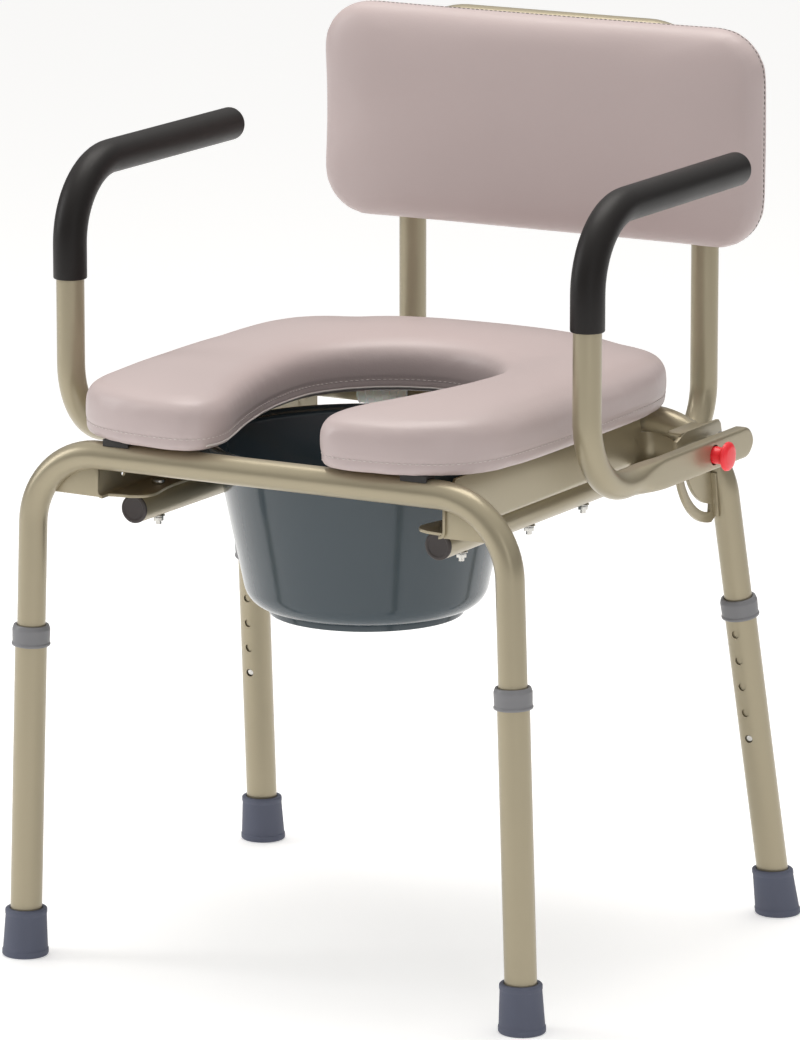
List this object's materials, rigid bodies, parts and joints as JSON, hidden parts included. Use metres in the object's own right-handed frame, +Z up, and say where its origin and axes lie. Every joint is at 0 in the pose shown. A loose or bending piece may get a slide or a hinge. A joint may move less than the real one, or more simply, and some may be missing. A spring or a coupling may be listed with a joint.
{
  "type": "commode chair",
  "caption": "Height-adjustable tube-frame commode chair with open-front padded seat, padded back, drop arms and removable round pail.",
  "frame": {"origin": "on the floor, at the middle of the chair's outer box", "axes": "+Z up; +Y to the back of the chair; +X to the sitter's left"},
  "size_m": [0.5902, 0.5694, 0.8095],
  "materials": {
    "frame_paint": "satin champagne powder coat",
    "vinyl": "smooth satin upholstery vinyl",
    "board": "plywood",
    "grip_foam": "matt black foam",
    "pail_plastic": "glossy blue-grey polypropylene",
    "foot_rubber": "matt blue-grey rubber",
    "collar_plastic": "satin grey nylon",
    "clip_plastic": "milky translucent nylon",
    "knob_plastic": "red",
    "cap_plastic": "charcoal",
    "steel": "zinc plated steel"
  },
  "bodies": {
    "chair_frame": {"front_leg_frame": "frame_paint", "rear_leg_frame": "frame_paint", "back_frame": "frame_paint", "pail_ring": "frame_paint", "back_cushion": "vinyl", "back_panel": "board", "side_rail_l": "frame_paint", "back_frame_cap_l": "cap_plastic", "arm_bracket_l": "frame_paint", "pivot_bolt_l": "steel", "pivot_bush_l": "collar_plastic", "rail_bolt_l_1": "steel", "rail_bolt_l_2": "steel", "rail_bolt_l_3": "steel", "side_rail_r": "frame_paint", "back_frame_cap_r": "cap_plastic", "arm_bracket_r": "frame_paint", "pivot_bolt_r": "steel", "pivot_bush_r": "collar_plastic", "rail_bolt_r_1": "steel", "rail_bolt_r_2": "steel", "rail_bolt_r_3": "steel"},
    "seat": {"seat_cushion": "vinyl", "seat_board": "board", "hinge_clip_l": "clip_plastic", "hinge_clip_r": "clip_plastic", "seat_bumper_l": "foot_rubber", "seat_bumper_r": "foot_rubber"},
    "pail": {"pail": "pail_plastic"},
    "arm_l": {"arm_tube_l": "frame_paint", "arm_grip_l": "grip_foam", "plunger_barrel_l": "steel", "plunger_spring_l": "steel"},
    "release_pin_l": {"plunger_pin_l": "steel", "release_knob_l": "knob_plastic"},
    "leg_front_l": {"leg_sleeve_front_l": "frame_paint", "leg_collar_front_l": "collar_plastic", "leg_foot_front_l": "foot_rubber"},
    "button_front_l": {"snap_button_front_l": "steel"},
    "leg_rear_l": {"leg_sleeve_rear_l": "frame_paint", "leg_collar_rear_l": "collar_plastic", "leg_foot_rear_l": "foot_rubber"},
    "button_rear_l": {"snap_button_rear_l": "steel"},
    "arm_r": {"arm_tube_r": "frame_paint", "arm_grip_r": "grip_foam", "plunger_barrel_r": "steel", "plunger_spring_r": "steel"},
    "release_pin_r": {"plunger_pin_r": "steel", "release_knob_r": "knob_plastic"},
    "leg_front_r": {"leg_sleeve_front_r": "frame_paint", "leg_collar_front_r": "collar_plastic", "leg_foot_front_r": "foot_rubber"},
    "button_front_r": {"snap_button_front_r": "steel"},
    "leg_rear_r": {"leg_sleeve_rear_r": "frame_paint", "leg_collar_rear_r": "collar_plastic", "leg_foot_rear_r": "foot_rubber"},
    "button_rear_r": {"snap_button_rear_r": "steel"}
  },
  "joints": [
    {"name": "seat_flip", "type": "hinge", "parent": "chair_frame", "child": "seat", "pos_m": [0, 0.11797, 0.4675], "axis": [-1, 0, 0], "range_deg": [0, 90]},
    {"name": "pail_lift", "type": "slide", "parent": "chair_frame", "child": "pail", "axis": [0, 0, 1], "range_m": [0, 0.012]},
    {"name": "arm_drop_l", "type": "hinge", "parent": "chair_frame", "child": "arm_l", "pos_m": [0.262, 0.1181, 0.455], "axis": [1, 0, 0], "range_deg": [0, 80]},
    {"name": "pin_pull_l", "type": "slide", "parent": "arm_l", "child": "release_pin_l", "axis": [1, 0, 0], "range_m": [0, 0.0075], "stiffness_N_per_m": 600, "springref_m": -0.005, "deforming": ["plunger_spring_l"]},
    {"name": "leg_extend_front_l", "type": "slide", "parent": "chair_frame", "child": "leg_front_l", "axis": [0.0333, 0, -0.9994], "range_m": [0, 0.1016]},
    {"name": "button_press_front_l", "type": "slide", "parent": "chair_frame", "child": "button_front_l", "axis": [0, -1, 0], "range_m": [0, 0.0048], "stiffness_N_per_m": 800, "springref_m": -0.004},
    {"name": "leg_extend_rear_l", "type": "slide", "parent": "chair_frame", "child": "leg_rear_l", "axis": [0.0617, 0.1612, -0.985], "range_m": [0, 0.1016]},
    {"name": "button_press_rear_l", "type": "slide", "parent": "chair_frame", "child": "button_rear_l", "axis": [-0.0101, 0.9869, 0.1609], "range_m": [0, 0.0048], "stiffness_N_per_m": 800, "springref_m": -0.004},
    {"name": "arm_drop_r", "type": "hinge", "parent": "chair_frame", "child": "arm_r", "pos_m": [-0.262, 0.1181, 0.455], "axis": [1, 0, 0], "range_deg": [0, 80]},
    {"name": "pin_pull_r", "type": "slide", "parent": "arm_r", "child": "release_pin_r", "axis": [-1, 0, 0], "range_m": [0, 0.0075], "stiffness_N_per_m": 600, "springref_m": -0.005, "deforming": ["plunger_spring_r"]},
    {"name": "leg_extend_front_r", "type": "slide", "parent": "chair_frame", "child": "leg_front_r", "axis": [-0.0333, 0, -0.9994], "range_m": [0, 0.1016]},
    {"name": "button_press_front_r", "type": "slide", "parent": "chair_frame", "child": "button_front_r", "axis": [0, -1, 0], "range_m": [0, 0.0048], "stiffness_N_per_m": 800, "springref_m": -0.004},
    {"name": "leg_extend_rear_r", "type": "slide", "parent": "chair_frame", "child": "leg_rear_r", "axis": [-0.0617, 0.1612, -0.985], "range_m": [0, 0.1016]},
    {"name": "button_press_rear_r", "type": "slide", "parent": "chair_frame", "child": "button_rear_r", "axis": [0.0101, 0.9869, 0.1609], "range_m": [0, 0.0048], "stiffness_N_per_m": 800, "springref_m": -0.004}
  ]
}
